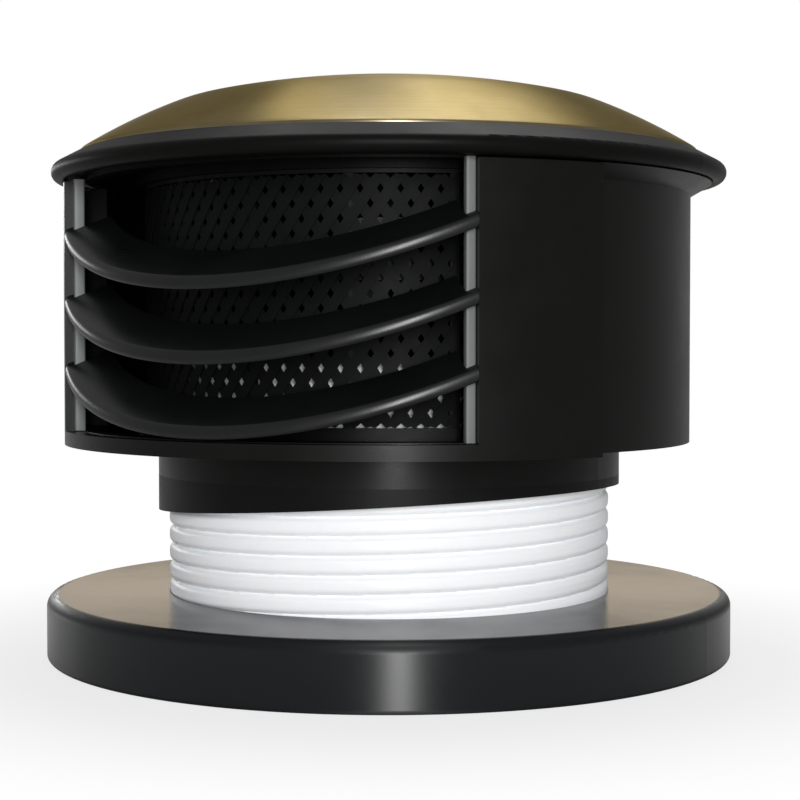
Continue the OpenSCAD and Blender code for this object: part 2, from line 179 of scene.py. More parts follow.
@dataclass(frozen=True)
class MouldedPlastic(Finish):
    """Moulded plastic: soft mottling of tone and gloss, and a fine eroded grain.

    The grain of the mould breaks up reflections a little, and flow in the mould leaves broad,
    faint changes of gloss. The grain is drawn coarser than the real 0.05 mm so that it shows.
    """

    deep_hex: str
    pale_hex: str
    rough_low: float
    rough_high: float
    specular: float
    grain_mm: float = 0.5
    grain_height_mm: float = 0.012
    flow_mm: float = 14.0
    subsurface: float = 0.0
    scatter_mm: float = 1.0

    def wire(self, tree: bpy.types.NodeTree, shader: bpy.types.Node) -> None:
        """Mix two tones and a range of gloss by flow marks, and lay the grain over them."""
        place = add_node(tree, "ShaderNodeTexCoord").outputs["Object"]
        flow = add_node(tree, "ShaderNodeTexNoise", {"Vector": place},
                        {"Scale": per_metre(self.flow_mm), "Detail": 4.0, "Roughness": 0.6})
        grain = add_node(tree, "ShaderNodeTexNoise", {"Vector": place},
                         {"Scale": per_metre(self.grain_mm), "Detail": 2.0, "Roughness": 0.5})
        tone = add_node(tree, "ShaderNodeMix", {"Factor": flow.outputs["Fac"]},
                        {MIX_A: linear(self.deep_hex), MIX_B: linear(self.pale_hex)}, data_type="RGBA")
        gloss = add_node(tree, "ShaderNodeMapRange", {"Value": flow.outputs["Fac"]},
                         {"From Min": NOISE_LOW, "From Max": NOISE_HIGH,
                          "To Min": self.rough_low, "To Max": self.rough_high})
        bump = add_node(tree, "ShaderNodeBump", {"Height": grain.outputs["Fac"]},
                        {"Strength": 0.6, "Distance": self.grain_height_mm * MM})
        tree.links.new(tone.outputs[MIX_OUT], shader.inputs["Base Color"])
        tree.links.new(gloss.outputs["Result"], shader.inputs["Roughness"])
        tree.links.new(bump.outputs["Normal"], shader.inputs["Normal"])
        shader.inputs["Specular IOR Level"].default_value = self.specular
        shader.inputs["Subsurface Weight"].default_value = self.subsurface
        shader.inputs["Subsurface Scale"].default_value = self.scatter_mm * MM


@dataclass(frozen=True)
class TurnedPlastic(MouldedPlastic):
    """Plastic turned on its outside and polished on its upper face.

    Tool marks round the side draw a lamp's reflection out into a soft upright streak, the rounded
    edge is left matt, and the polished upper face mirrors what stands on it.
    """

    side_rough: float = 0.12
    edge_rough: float = 0.8
    polish_from: float = 0.9
    streak: float = 0.9

    def wire(self, tree: bpy.types.NodeTree, shader: bpy.types.Node) -> None:
        """Add roughness to the side and more to the rounded edge, and stretch reflections upright.

        With u the upward share of the surface's direction, 0 on the side and 1 on top, the side's
        roughness fades out from u = polish_from to 1, and the edge's is highest at u = 0.5.
        """
        super().wire(tree, shader)
        facing = add_node(tree, "ShaderNodeSeparateXYZ",
                          {0: add_node(tree, "ShaderNodeTexCoord").outputs["Normal"]})
        extra = add_node(tree, "ShaderNodeMapRange", {"Value": facing.outputs["Z"]},
                         {"From Min": self.polish_from, "From Max": 1.0,
                          "To Min": self.side_rough, "To Max": 0.0})
        edge = add_node(tree, "ShaderNodeMath", {0: facing.outputs["Z"]}, {1: 0.5}, operation="PINGPONG")
        worn = add_node(tree, "ShaderNodeMath", {0: edge.outputs[0], 2: extra.outputs["Result"]},
                        {1: self.edge_rough}, operation="MULTIPLY_ADD")
        rough = shader.inputs["Roughness"]
        total = add_node(tree, "ShaderNodeMath",
                         {0: rough.links[0].from_socket, 1: worn.outputs[0]}, operation="ADD")
        tree.links.new(total.outputs[0], rough)
        brush_round(tree, shader, self.streak)


@dataclass(frozen=True)
class SpunMetal(Finish):
    """Sheet metal spun on a former and brushed round: fine rings that fan the light out radially.

    The rings lie round the vent's axis, so that a lamp spreads across them into a bright fan from
    the middle to the edge. The real rings are under 0.1 mm apart and are drawn coarser to show.
    Seen almost edge on, the metal keeps its warm tint.
    """

    deep_hex: str
    pale_hex: str
    edge_hex: str
    roughness: float
    fan: float
    ring_mm: float = 0.45
    ring_height_mm: float = 0.004
    stain_mm: float = 25.0
    tone_low: float = 0.1
    tone_high: float = 0.45
    gloss_spread: float = 0.05

    def wire(self, tree: bpy.types.NodeTree, shader: bpy.types.Node) -> None:
        """Draw rings by distance from the axis and a faint stain over two tones of the metal."""
        place = add_node(tree, "ShaderNodeTexCoord").outputs["Object"]
        flat = add_node(tree, "ShaderNodeVectorMath", {0: place}, {1: (1.0, 1.0, 0.0)},
                        operation="MULTIPLY")
        away = add_node(tree, "ShaderNodeVectorMath", {0: flat.outputs[0]}, operation="LENGTH")
        rings = add_node(tree, "ShaderNodeTexNoise", {"W": away.outputs["Value"]},
                         {"Scale": per_metre(self.ring_mm), "Detail": 3.0, "Roughness": 0.7},
                         noise_dimensions="1D")
        stain = add_node(tree, "ShaderNodeTexNoise", {"Vector": place},
                         {"Scale": per_metre(self.stain_mm), "Detail": 5.0, "Roughness": 0.65})
        blend = add_node(tree, "ShaderNodeMath", {0: rings.outputs["Fac"], 1: stain.outputs["Fac"]},
                         operation="MULTIPLY")
        share = add_node(tree, "ShaderNodeMapRange", {"Value": blend.outputs[0]},
                         {"From Min": self.tone_low, "From Max": self.tone_high})
        tone = add_node(tree, "ShaderNodeMix", {"Factor": share.outputs["Result"]},
                        {MIX_A: linear(self.deep_hex), MIX_B: linear(self.pale_hex)}, data_type="RGBA")
        gloss = add_node(tree, "ShaderNodeMapRange", {"Value": rings.outputs["Fac"]},
                         {"From Min": NOISE_LOW, "From Max": NOISE_HIGH,
                          "To Min": self.roughness - self.gloss_spread,
                          "To Max": self.roughness + self.gloss_spread})
        bump = add_node(tree, "ShaderNodeBump", {"Height": rings.outputs["Fac"]},
                        {"Strength": 0.5, "Distance": self.ring_height_mm * MM})
        tree.links.new(tone.outputs[MIX_OUT], shader.inputs["Base Color"])
        tree.links.new(gloss.outputs["Result"], shader.inputs["Roughness"])
        tree.links.new(bump.outputs["Normal"], shader.inputs["Normal"])
        shader.inputs["Metallic"].default_value = 1.0
        shader.inputs["Specular Tint"].default_value = linear(self.edge_hex)
        brush_round(tree, shader, self.fan)


@dataclass(frozen=True)
class BareMetal(Finish):
    """Drawn or cold-headed steel left bare: a grey metal with faint, fine scratches of gloss."""

    deep_hex: str
    pale_hex: str
    roughness: float
    scratch_mm: float = 0.6
    squeeze: float = 0.15
    gloss_spread: float = 0.08

    def wire(self, tree: bpy.types.NodeTree, shader: bpy.types.Node) -> None:
        """Vary the tone and the gloss by a noise stretched upright, as drawn wire shows it."""
        place = add_node(tree, "ShaderNodeTexCoord").outputs["Object"]
        drawn = add_node(tree, "ShaderNodeMapping", {"Vector": place}, {"Scale": (1.0, 1.0, self.squeeze)})
        scratch = add_node(tree, "ShaderNodeTexNoise", {"Vector": drawn.outputs["Vector"]},
                           {"Scale": per_metre(self.scratch_mm), "Detail": 4.0, "Roughness": 0.6})
        tone = add_node(tree, "ShaderNodeMix", {"Factor": scratch.outputs["Fac"]},
                        {MIX_A: linear(self.deep_hex), MIX_B: linear(self.pale_hex)}, data_type="RGBA")
        gloss = add_node(tree, "ShaderNodeMapRange", {"Value": scratch.outputs["Fac"]},
                         {"To Min": self.roughness - self.gloss_spread,
                          "To Max": self.roughness + self.gloss_spread})
        tree.links.new(tone.outputs[MIX_OUT], shader.inputs["Base Color"])
        tree.links.new(gloss.outputs["Result"], shader.inputs["Roughness"])
        shader.inputs["Metallic"].default_value = 1.0


# ASA, moulded: nearly black, with a dull sheen and no clear mirror image.
COWL_PLASTIC = MouldedPlastic("black_asa_moulded", "#070706", "#0e0e0d",
                              rough_low=0.28, rough_high=0.38, specular=0.15)
# The same ASA from a duller mould: reflections spread so far that the brim stays dark.
DOME_PLASTIC = MouldedPlastic("black_asa_moulded_matt", "#070706", "#0e0e0d",
                              rough_low=0.38, rough_high=0.48, specular=0.06)
# ASA from a smoother mould: glossy enough for the slats' noses to carry a line of light.
LOUVRE_PLASTIC = MouldedPlastic("black_asa_moulded_louvre", "#080909", "#101111",
                                rough_low=0.26, rough_high=0.36, specular=0.36)
# ASA posts, moulded, coloured a mid grey as a painted highlight: the grey stands in for the light their
# black fronts catch, and sets them off from the black round them.
POST_GREY_PAINTED_HIGHLIGHT = MouldedPlastic("grey_painted_highlight_asa", "#5b5f5e", "#6e7271",
                              rough_low=0.30, rough_high=0.42, specular=0.30)
# Acetal, turned: a cool black with a soft upright glow on its side and a mirror on top.
FLANGE_PLASTIC = TurnedPlastic("black_acetal_turned", "#07090b", "#0d1013",
                               rough_low=0.16, rough_high=0.22, specular=0.40,
                               grain_height_mm=0.004, side_rough=0.14)
# Polypropylene, moulded: black and waxy, seen only through the gaps.
INNER_PLASTIC = MouldedPlastic("black_polypropylene_moulded", "#080809", "#0e0e0f",
                               rough_low=0.40, rough_high=0.52, specular=0.12)
# White acetal, moulded: a white with a painted cool tint that stands in for the bluish cast of the light
# on it, and that lets a little light in, so that the grooves stay pale.
SPIGOT_PLASTIC = MouldedPlastic("white_acetal_moulded", "#f1f3f6", "#f9fafc",
                                rough_low=0.30, rough_high=0.42, specular=0.40,
                                grain_height_mm=0.006, subsurface=0.12, scatter_mm=1.2)
# Natural acetal, turned: off-white with a slight gloss.
WASHER_PLASTIC = MouldedPlastic("natural_acetal_turned", "#dcd7c8", "#e8e4d8",
                                rough_low=0.32, rough_high=0.45, specular=0.45)
# Nitrile rubber, moulded: a flat black with a coarser grain.
SEAL_RUBBER = MouldedPlastic("nitrile_rubber_moulded", "#09090a", "#111112",
                             rough_low=0.36, rough_high=0.48, specular=0.10,
                             grain_mm=0.8, grain_height_mm=0.02)
# Expanded metal under an epoxy coat: a dull black that shows mostly by its holes.
MESH_COATING = MouldedPlastic("mesh_epoxy_coated", "#080909", "#101111",
                              rough_low=0.46, rough_high=0.58, specular=0.06,
                              grain_mm=0.3, flow_mm=6.0)
# Bronze sheet, spun and brushed: a warm grey gold that fans a lamp out towards the edge.
CAP_METAL = SpunMetal("bronze_sheet_spun", "#80745a", "#a69a7c", "#cbbd9a", roughness=0.33, fan=0.75)
# Stainless steel, cold headed: a neutral, fairly bright grey.
STEEL = BareMetal("stainless_steel_cold_headed", "#a3a5a7", "#c9cbcd", roughness=0.30)


@dataclass
class Surface:
    """Points and four-cornered faces of closed shapes, ready to go into a mesh."""

    points: Array
    faces: Array

    @classmethod
    def from_grid(cls, grid: Array, loop_rows: bool, loop_cols: bool = True) -> "Surface":
        """Join a grid of points into faces that look outwards.

        The enclosed volume is the sum of the tetrahedra from the origin to each half face. If it
        comes out negative, every face is turned round.

        Args:
            grid: points by row and column.
            loop_rows: whether the last row joins the first.
            loop_cols: whether the last column joins the first.

        Returns:
            The surface.
        """
        rows, cols = grid.shape[:2]
        i, j = np.meshgrid(np.arange(rows if loop_rows else rows - 1),
                           np.arange(cols if loop_cols else cols - 1), indexing="ij")
        down, along = (i + 1) % rows, (j + 1) % cols
        faces = np.stack([i * cols + j, down * cols + j, down * cols + along, i * cols + along], axis=-1)
        faces = faces.reshape(-1, 4)
        points = grid.reshape(-1, 3)
        a, b, c, d = (points[faces[:, k]] for k in range(4))
        volume = np.sum(a * (np.cross(b, c) + np.cross(c, d)))
        return cls(points, faces if volume > 0 else faces[:, ::-1])

    @classmethod
    def joined(cls, surfaces: list["Surface"]) -> "Surface":
        """Several surfaces as one, with the corner numbers of each moved past the ones before."""
        starts = np.cumsum([0] + [len(s.points) for s in surfaces[:-1]])
        points = np.concatenate([s.points for s in surfaces])
        faces = np.concatenate([s.faces + start for s, start in zip(surfaces, starts)])
        return cls(points, faces)

    def turned(self, degrees: float) -> "Surface":
        """The surface turned round the vent's axis."""
        cos, sin = math.cos(math.radians(degrees)), math.sin(math.radians(degrees))
        turn = np.array([[cos, sin, 0.0], [-sin, cos, 0.0], [0.0, 0.0, 1.0]])
        return Surface(self.points @ turn, self.faces)

    def moved(self, x: float, y: float, z: float) -> "Surface":
        """The surface moved by an offset."""
        return Surface(self.points + np.array([x, y, z]), self.faces)


def with_ends(grid: Array) -> Array:
    """Close the open ends of a swept loop with a fan to the middle of its first and last row."""
    first = np.broadcast_to(grid[0].mean(axis=0), grid[0].shape)
    last = np.broadcast_to(grid[-1].mean(axis=0), grid[-1].shape)
    return np.concatenate([first[None], grid, last[None]])


def spun(reach: Array, level: Array, columns: int) -> Array:
    """Turn a profile round the axis: x = r cos t, y = r sin t, z = the profile's own level.

    Args:
        reach: distance of each profile point from the axis.
        level: height of each profile point.
        columns: points round the axis.

    Returns:
        Grid of points, one row for each profile point.
    """
    turn = np.linspace(0.0, 2 * np.pi, columns, endpoint=False)
    x = reach[:, None] * np.cos(turn)
    y = reach[:, None] * np.sin(turn)
    z = np.broadcast_to(level[:, None], x.shape)
    return np.stack([x, y, z], axis=-1)


def from_louvre(reach: Array, degrees: Array, level: Array) -> Array:
    """Points from distance to the axis, angle from -Y towards +X, and height."""
    turn = np.radians(degrees)
    return np.stack([reach * np.sin(turn), -reach * np.cos(turn), level], axis=-1)


@dataclass(frozen=True)
class NodeBox:
    """Rest box of a CAD node: its reach from the axis, and its lowest and highest level."""

    reach: float
    bottom: float
    top: float

    @classmethod
    def of(cls, node: str) -> "NodeBox":
        """The box of the node with that name."""
        low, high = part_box(node)
        return cls(max(high[0], high[1], -low[0], -low[1]), low[2], high[2])


def put(name: str, surface: Surface, finish: Finish, body: Body, node: str) -> None:
    """Make an object of a surface, in place of a CAD node.

    Args:
        name: the piece's name.
        surface: its closed surface.
        finish: what it is made of.
        body: the body that it rides on.
        node: the CAD node that it stands for.
    """
    mesh = bpy.data.meshes.new(name)
    mesh.from_pydata(surface.points.tolist(), [], surface.faces.tolist())
    work = bmesh.new()
    work.from_mesh(mesh)
    bmesh.ops.remove_doubles(work, verts=work.verts, dist=MERGE)
    work.to_mesh(mesh)
    work.free()
    mesh.polygons.foreach_set("use_smooth", np.ones(len(mesh.polygons), dtype=bool))
    mesh.set_sharp_from_angle(angle=math.radians(SHARP_DEG))
    mesh.materials.append(finish.material())
    piece = bpy.data.objects.new(name, mesh)
    bpy.context.scene.collection.objects.link(piece)
    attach(piece, body.value)
    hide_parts(node)
    log.info("%s: %d faces on %s", name, len(mesh.polygons), body.value)


def dress(finish: Finish, *nodes: str) -> None:
    """Give CAD nodes a finish through their material slots."""
    for node in nodes:
        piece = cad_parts[node]
        if not piece.material_slots:
            piece.data.materials.append(None)
        for slot in piece.material_slots:
            slot.material = finish.material()
        log.info("%s: %s", node, finish.name)


@dataclass
class Screw:
    """A cross-recessed screw that points up, with its head at the bottom.

    The head's lower face is slightly domed, and its recess is two crossed slots whose depth falls
    off over a small run-out, so that the slots have sloping walls.
    """

    shank_r: float
    head_r: float
    head_h: float
    length: float
    dome: float = 0.35 * MM
    face_share: float = 0.5
    point_share: float = 0.6
    slot_half: float = 0.42 * MM
    slot_reach: float = 0.66
    slot_depth: float = 1.1 * MM
    run_out: float = 0.16 * MM
    columns: int = 72
    face_rows: int = 18

    def surface(self) -> Surface:
        """The screw on its own axis: a spun profile whose head face is cut in by the recess."""
        face = np.linspace(0.0, self.head_r - self.dome, self.face_rows)
        reach = np.concatenate([face, [self.head_r, self.head_r, self.shank_r, self.shank_r,
                                       self.shank_r * self.point_share, 0.0]])
        crown = self.face_share * self.dome * (face / face[-1]) ** 2
        level = np.concatenate([crown, [self.dome, self.head_h, self.head_h,
                                        self.head_h + self.length - self.shank_r,
                                        self.head_h + self.length, self.head_h + self.length]])
        grid = spun(reach, level, self.columns)
        x, y = np.abs(grid[:self.face_rows, :, 0]), np.abs(grid[:self.face_rows, :, 1])
        inside = np.clip((self.slot_half - np.minimum(x, y)) / self.run_out + 0.5, 0.0, 1.0)
        ends = np.clip((self.slot_reach * self.head_r - np.hypot(x, y)) / self.run_out + 0.5, 0.0, 1.0)
        grid[:self.face_rows, :, 2] += self.slot_depth * inside * ends
        return Surface.from_grid(grid, loop_rows=False)


@dataclass
class DeckBase:
    """Black deck flange with its rubber gasket, and the white spigot with its screws."""

    spigot_wall: float = 4.8 * MM
    lead: float = 8.0 * MM
    starts: int = 2
    thread_depth: float = 1.25 * MM
    groove_sharpness: float = 4.0
    run_out: float = 2.0 * MM
    thread_rows: int = 250
    columns: int = 160
    screws: int = 6
    screw_r: float = 1.5 * MM
    screw_head_r: float = 2.7 * MM
    screw_head_h: float = 1.6 * MM

    def thread(self) -> Surface:
        """The spigot with its two-start right-hand thread.

        At height z and angle t a ridge has run u = starts (z / lead - t / 2 pi) pitches. The
        radius is the root's plus the depth times 1 - |2 frac(u) - 1| ** sharpness, which gives
        broad rounded ridges with narrow grooves, and the depth runs out at both ends.
        """
        box = NodeBox.of("threaded_spigot")
        turn = np.linspace(0.0, 2 * np.pi, self.columns, endpoint=False)
        z = np.linspace(box.bottom, box.top, self.thread_rows)[:, None]
        share = self.starts * (z / self.lead - turn / (2 * np.pi)) % 1.0
        ridge = 1.0 - np.abs(2 * share - 1.0) ** self.groove_sharpness
        ramp = np.clip(np.minimum(z - box.bottom, box.top - z) / self.run_out, 0.0, 1.0)
        outer = box.reach - self.thread_depth * (1.0 - ridge * ramp)
        bore = np.full((2, self.columns), box.reach - self.spigot_wall)
        reach = np.concatenate([outer, bore])
        level = np.concatenate([np.broadcast_to(z, outer.shape), np.full((1, self.columns), box.top),
                                np.full((1, self.columns), box.bottom)])
        grid = np.stack([reach * np.cos(turn), reach * np.sin(turn), level], axis=-1)
        return Surface.from_grid(grid, loop_rows=True)

    def fasteners(self) -> Surface:
        """The screws that come up through the flange into the spigot's wall, the first half a step on."""
        box = NodeBox.of("spigot_screws")
        circle = NodeBox.of("threaded_spigot").reach - self.spigot_wall / 2
        one = Screw(self.screw_r, self.screw_head_r, self.screw_head_h, box.top - self.screw_head_h)
        first = one.surface().moved(circle, 0.0, 0.0)
        step = 360.0 / self.screws
        return Surface.joined([first.turned(step * (i + 0.5)) for i in range(self.screws)])

    def build(self) -> None:
        """Put the thread and the screws in place and dress the moulded nodes."""
        put("spigot_thread", self.thread(), SPIGOT_PLASTIC, Body.BASE, "threaded_spigot")
        put("spigot_fixings", self.fasteners(), STEEL, Body.BASE, "spigot_screws")
        dress(FLANGE_PLASTIC, "deck_flange")
        dress(SEAL_RUBBER, "deck_gasket")


@dataclass
class Closure:
    """Closing disc with its rubber ring, hung on the stem under the dome."""

    def build(self) -> None:
        """Dress the nodes of the closure."""
        dress(INNER_PLASTIC, "closing_disc")
        dress(SEAL_RUBBER, "disc_seal")
        dress(STEEL, "stem_bolt")
        dress(WASHER_PLASTIC, "thrust_washer")


@dataclass
class Louvre:
    """The cowl's louvre: sloped slats with rounded noses, and two posts with rounded corners."""

    half_window: float = 44.5
    post_angle: float = 1.6
    post_depth: float = 2.3 * MM
    post_corner: float = 0.4 * MM
    post_rows: int = 40
    corner_steps: int = 8
    slat_proud: float = 1.9 * MM
    slats: int = 3
    slat_depth: float = 9.9 * MM
    pitch: float = 14.6 * MM
    thickness: float = 2.4 * MM
    slope: float = 29.0
    nose: float = 0.6 * MM
    nose_steps: int = 9
    seat: float = 0.1 * MM
    columns: int = 121
    notch_columns: int = 6

    def slat(self, level: float, front: float) -> Surface:
        """One flat slat, its cross-section carried round the cowl.

        The section runs from the inner edge along the underside, round an elliptical nose of
        semi-axes nose and half the thickness, and back along the top. Each of its points lies
        (front - r cos t) tan(slope) above the slat's lowest line, as on a sloping plane. Where the
        slat crosses a post its inner edge steps out to the post's front.

        Args:
            level: height of the slat's lowest line.
            front: the slat's outer radius.

        Returns:
            The slat.
        """
        notch = self.half_window - self.post_angle - math.degrees(self.seat / front)
        inside = np.linspace(-notch, notch, self.columns)
        outside = np.linspace(notch, self.half_window, self.notch_columns)
        degrees = np.concatenate([-outside[::-1], inside, outside])
        at_post = np.full(self.notch_columns, front - self.slat_proud + self.seat)
        back = np.concatenate([at_post, np.full(self.columns, front - self.slat_depth), at_post])
        height = self.thickness / math.cos(math.radians(self.slope))
        sweep = np.linspace(-np.pi / 2, np.pi / 2, self.nose_steps)
        tip = front - self.nose + self.nose * np.cos(sweep)
        reach = np.stack([back, *[np.full_like(back, r) for r in tip], back], axis=1)
        rise = np.concatenate([[0.0], height / 2 * (1.0 + np.sin(sweep)), [height]])
        turn = np.broadcast_to(degrees[:, None], reach.shape)
        fall = (front - reach * np.cos(np.radians(turn))) * math.tan(math.radians(self.slope))
        grid = from_louvre(reach, turn, level + fall + rise[None, :])
        return Surface.from_grid(with_ends(grid), loop_rows=False)

    def post(self, side: float, front: float, bottom: float, top: float) -> Surface:
        """One upright post: a rounded rectangle in plan, carried straight up.

        Each quarter of the plan is an arc of radius corner about a middle that lies half the flat
        depth and half the flat width from the post's own middle.

        Args:
            side: 1 for the post towards +X, -1 for the other.
            front: radius of the post's front.
            bottom: height of its foot.
            top: height of its head.

        Returns:
            The post.
        """
        middle = front - self.post_depth / 2
        half_width = math.radians(self.post_angle / 2) * front - self.post_corner
        half_depth = self.post_depth / 2 - self.post_corner
        quarter = np.linspace(0.0, np.pi / 2, self.corner_steps)
        sweep = np.concatenate([quarter + k * np.pi / 2 for k in range(4)])
        corner = np.repeat((np.arange(4) + 0.5) * np.pi / 2, self.corner_steps)
        out, across = np.sign(np.cos(corner)), np.sign(np.sin(corner))
        reach = middle + half_depth * out + self.post_corner * np.cos(sweep)
        shift = half_width * across + self.post_corner * np.sin(sweep)
        degrees = side * (self.half_window - self.post_angle / 2) + np.degrees(shift / front)
        level = np.linspace(bottom, top, self.post_rows)[:, None]
        shape = (self.post_rows, len(reach))
        grid = from_louvre(np.broadcast_to(reach, shape), np.broadcast_to(degrees, shape),
                           np.broadcast_to(level, shape))
        return Surface.from_grid(with_ends(grid), loop_rows=False)

    def build(self) -> None:
        """Put the slats and the posts in place of the CAD ones. The slats reach furthest at -Y."""
        slats, posts = NodeBox.of("louvre_slats"), NodeBox.of("louvre_posts")
        front = -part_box("louvre_slats")[0][1]
        made = [self.slat(slats.bottom + i * self.pitch, front) for i in range(self.slats)]
        put("slats_moulded", Surface.joined(made), LOUVRE_PLASTIC, Body.HEAD, "louvre_slats")
        pair = [self.post(side, front - self.slat_proud, posts.bottom, posts.top) for side in (-1.0, 1.0)]
        # The posts take the mid grey of the painted highlight.
        put("posts_moulded", Surface.joined(pair), POST_GREY_PAINTED_HIGHLIGHT, Body.HEAD, "louvre_posts")


@dataclass
class Screen:
    """Expanded diamond mesh, wrapped round its moulded cage."""

    strands: int = 86
    strand_w: float = 2.2 * MM
    strand_t: float = 0.24 * MM
    lay: float = 0.25 * MM
    lean: float = 34.0
    rows: int = 36

    def family(self, side: float) -> Surface:
        """All the strands that lean one way.

        A strand climbs as a helix, t = t0 + side z tan(lean) / r, and carries a flat rectangular
        section: thin along the radius and wide across its own run.

        Args:
            side: 1 for strands that lean towards +X at the louvre, -1 for the others.

        Returns:
            The strands.
        """
        box = NodeBox.of("insect_screen")
        reach = box.reach - self.lay + side * self.strand_t / 2
        level = np.linspace(box.bottom, box.top, self.rows)
        lean = math.radians(self.lean)
        start = np.linspace(0.0, 2 * np.pi, self.strands, endpoint=False)[:, None]
        turn = start + side * (level - box.bottom) * math.tan(lean) / reach
        out = np.stack([np.cos(turn), np.sin(turn), np.zeros_like(turn)], axis=-1)
        along = np.stack([-np.sin(turn), np.cos(turn), np.zeros_like(turn)], axis=-1)
        across = along * math.cos(lean) - np.array([0.0, 0.0, side * math.sin(lean)])
        middle = out * reach
        middle[..., 2] = level
        corners = [(-1, -1), (1, -1), (1, 1), (-1, 1)]
        grid = np.stack([middle + out * (p * self.strand_t / 2) + across * (q * self.strand_w / 2)
                         for p, q in corners], axis=2)
        grid[..., 2] = np.clip(grid[..., 2], box.bottom, box.top)
        return Surface.joined([Surface.from_grid(with_ends(strand), loop_rows=False) for strand in grid])

    def build(self) -> None:
        """Put the mesh in place of its sleeve and dress the cage."""
        mesh = Surface.joined([self.family(1.0), self.family(-1.0)])
        put("screen_mesh", mesh, MESH_COATING, Body.HEAD, "insect_screen")
        dress(INNER_PLASTIC, "cage_rims", "cage_bars")


@dataclass
class Cowl:
    """Black cowl with its neck ring, its louvre and its insect screen."""

    louvre: Louvre
    screen: Screen

    def build(self) -> None:
        """Dress the moulded nodes and build what the cowl carries."""
        dress(COWL_PLASTIC, "cowl_body")
        dress(SEAL_RUBBER, "neck_seal")
        self.louvre.build()
        self.screen.build()


@dataclass
class DomeCap:
    """Black dome with its metal cap, gasket and fasteners."""

    cap_rise: float = 16.6 * MM
    shoulder_rise: float = 20.0 * MM
    crown_r: float = 205.0 * MM
    crown_blend: float = 0.12 * MM
    cap_t: float = 1.2 * MM
    cap_corner: float = 0.8 * MM
    cap_rows: int = 60
    corner_steps: int = 5
    columns: int = 192
    studs: int = 3
    stud_r: float = 2.5 * MM
    stud_circle: float = 40.0 * MM
    stud_start: float = 90.0
    stud_sink: float = 0.6 * MM
    stud_point: float = 0.7
    stud_chamfer: float = 0.4
    stud_columns: int = 32
    screw_r: float = 1.75 * MM
    screw_head_r: float = 3.15 * MM
    screw_head_h: float = 2.2 * MM
    screw_turns: tuple[float, ...] = (30.0, 90.0, 150.0)

    def shoulder(self) -> tuple[float, float, float]:
        """Radius of the sphere of the cap's shoulder, its centre's height, and the cap's reach."""
        box = NodeBox.of("metal_cap")
        radius = (box.reach ** 2 + self.shoulder_rise ** 2) / (2 * self.shoulder_rise)
        return radius, box.top - self.cap_rise + self.shoulder_rise - radius, box.reach

    def skin(self, reach: Array, depth: float) -> Array:
        """Height of the cap's skin, a depth below its top: the lower of two spheres, blended.

        With s the shoulder's sphere and c the flatter crown's, both that much smaller, the height
        is (s + c) / 2 - sqrt(((s - c) / 2) ** 2 + blend ** 2).

        Args:
            reach: distances from the axis.
            depth: how far below the top the skin lies.

        Returns:
            The height at each distance.
        """
        radius, centre, _ = self.shoulder()
        top = NodeBox.of("metal_cap").top
        round_z = centre + np.sqrt((radius - depth) ** 2 - reach ** 2)
        flat_z = top - self.crown_r + np.sqrt((self.crown_r - depth) ** 2 - reach ** 2)
        return (round_z + flat_z) / 2 - np.sqrt(((round_z - flat_z) / 2) ** 2 + self.crown_blend ** 2)

    def cap(self) -> Surface:
        """The spun sheet: an outer and an inner skin, joined by an upright edge with a rounded corner.

        The corner is an arc of radius c from the skin's own slope a to upright, so that it runs
        out by c (sin t - 1) from the edge and down by c (cos a - cos t) from the skin.
        """
        radius, _, reach = self.shoulder()
        slope = math.asin(reach / radius)
        sweep = np.linspace(slope, np.pi / 2, self.corner_steps)
        corner_r = reach + self.cap_corner * (np.sin(sweep) - 1.0)
        corner_z = self.skin(corner_r[:1], 0.0) - self.cap_corner * (math.cos(slope) - np.cos(sweep))
        outer = np.linspace(0.0, corner_r[0], self.cap_rows)[:-1]
        inner = np.linspace(reach, 0.0, self.cap_rows)
        out = np.concatenate([outer, corner_r, inner])
        up = np.concatenate([self.skin(outer, 0.0), corner_z, self.skin(inner, self.cap_t)])
        return Surface.from_grid(spun(out, up, self.columns), loop_rows=False)

    def stud(self) -> Surface:
        """One welded stud: a spun pin with a pointed end, its root sunk in the sheet."""
        root = float(self.skin(np.array([self.stud_circle + self.stud_r]), self.stud_sink)[0])
        tip = NodeBox.of("metal_cap").bottom
        reach = np.array([0.0, self.stud_r * self.stud_point, self.stud_r, self.stud_r, 0.0])
        level = np.array([tip, tip, tip + self.stud_r * self.stud_chamfer, root, root])
        pin = Surface.from_grid(spun(reach, level, self.stud_columns), loop_rows=False)
        return pin.moved(self.stud_circle, 0.0, 0.0)

    def fasteners(self) -> Surface:
        """The long screws up through the cowl's pillars into the dome, one of them straight at +Y."""
        box = NodeBox.of("dome_screws")
        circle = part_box("dome_screws")[1][1] - self.screw_head_r
        length = box.top - box.bottom - self.screw_head_h
        one = Screw(self.screw_r, self.screw_head_r, self.screw_head_h, length)
        first = one.surface().moved(circle, 0.0, box.bottom)
        return Surface.joined([first.turned(turn) for turn in self.screw_turns])

    def build(self) -> None:
        """Put the cap and the screws in place and dress the other nodes."""
        stud = self.stud()
        pins = [stud.turned(self.stud_start + 360.0 * i / self.studs) for i in range(self.studs)]
        put("cap_spun", Surface.joined([self.cap(), *pins]), CAP_METAL, Body.HEAD, "metal_cap")
        put("dome_fixings", self.fasteners(), STEEL, Body.HEAD, "dome_screws")
        dress(DOME_PLASTIC, "dome")
        dress(SEAL_RUBBER, "dome_gasket")
        dress(STEEL, "cap_washers", "cap_nuts")


@dataclass(frozen=True)
class SoftBox:
    """One soft lamp: where it hangs as seen from the camera, its size and its power in watts."""

    name: str
    turn: float
    away: float
    above: float
    width: float
    height: float
    watts: float


